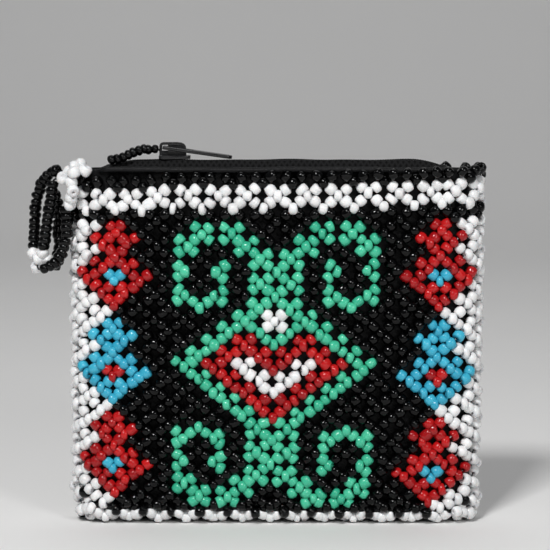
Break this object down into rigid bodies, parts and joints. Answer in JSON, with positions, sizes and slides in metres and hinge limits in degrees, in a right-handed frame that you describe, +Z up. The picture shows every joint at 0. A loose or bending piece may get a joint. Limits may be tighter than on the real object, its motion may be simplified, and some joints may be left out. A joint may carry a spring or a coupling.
{
  "type": "beaded coin purse",
  "caption": "Small zipped coin purse: a leatherette pouch in a netted sleeve of seed beads with zigzag bands, a central figure and medallions, and a bead loop at one top corner.",
  "frame": {"origin": "middle of the bottom row of beads, at the lowest point", "axes": "+X along the purse towards the closed end of the zip's run, -Y out of the front, +Z up"},
  "size_m": [0.1139, 0.0196, 0.0951],
  "materials": {
    "black_beads": "gloss",
    "black_metal": "satin",
    "blue_beads": "gloss",
    "green_beads": "gloss",
    "leatherette": "satin",
    "nylon_coil": "satin",
    "red_beads": "gloss",
    "tape": "matt",
    "white_beads": "gloss"
  },
  "bodies": {
    "purse": {"figure_flower": "white_beads", "figure_green": "green_beads", "figure_green_inlay_1": "green_beads", "figure_heart": "red_beads", "figure_smile": "white_beads", "leatherette_pouch": "leatherette", "loop_cluster_corner": "white_beads", "loop_cluster_foot": "white_beads", "loop_strand_inner": "black_beads", "loop_strand_middle": "black_beads", "loop_strand_outer": "black_beads", "loop_strand_rear": "black_beads", "medallion_eye_left_1": "blue_beads", "medallion_eye_left_2": "red_beads", "medallion_eye_left_3": "blue_beads", "medallion_eye_right_1": "blue_beads", "medallion_eye_right_2": "red_beads", "medallion_eye_right_3": "blue_beads", "medallion_left_1": "red_beads", "medallion_left_2": "blue_beads", "medallion_left_3": "red_beads", "medallion_right_1": "red_beads", "medallion_right_2": "blue_beads", "medallion_right_3": "red_beads", "net_back": "black_beads", "net_band_lower": "white_beads", "net_band_upper": "white_beads", "net_border_left": "white_beads", "net_border_right": "white_beads", "net_closing_row": "black_beads", "net_front": "black_beads", "net_front_inlay_1": "black_beads", "net_front_inlay_2": "black_beads", "net_front_inlay_3": "black_beads", "net_front_inlay_4": "black_beads", "net_front_inlay_5": "black_beads", "net_front_inlay_6": "black_beads", "net_front_inlay_7": "black_beads", "net_rim": "black_beads", "net_ring_left": "black_beads", "net_ring_right": "black_beads", "zip_coil_front": "nylon_coil", "zip_coil_rear": "nylon_coil", "zip_tape_front": "tape", "zip_tape_rear": "tape"},
    "slider": {"slider_body": "black_metal", "lead_strand": "black_beads"},
    "pull_tab": {"pull_tab": "black_metal"}
  },
  "joints": [
    {"name": "zip_slide", "type": "slide", "parent": "purse", "child": "slider", "axis": [1, 0, 0], "range_m": [0, 0.05]},
    {"name": "pull_tab_hinge", "type": "hinge", "parent": "slider", "child": "pull_tab", "pos_m": [-0.02765, 0, 0.09375], "axis": [0, -1, 0], "range_deg": [0, 130]}
  ]
}
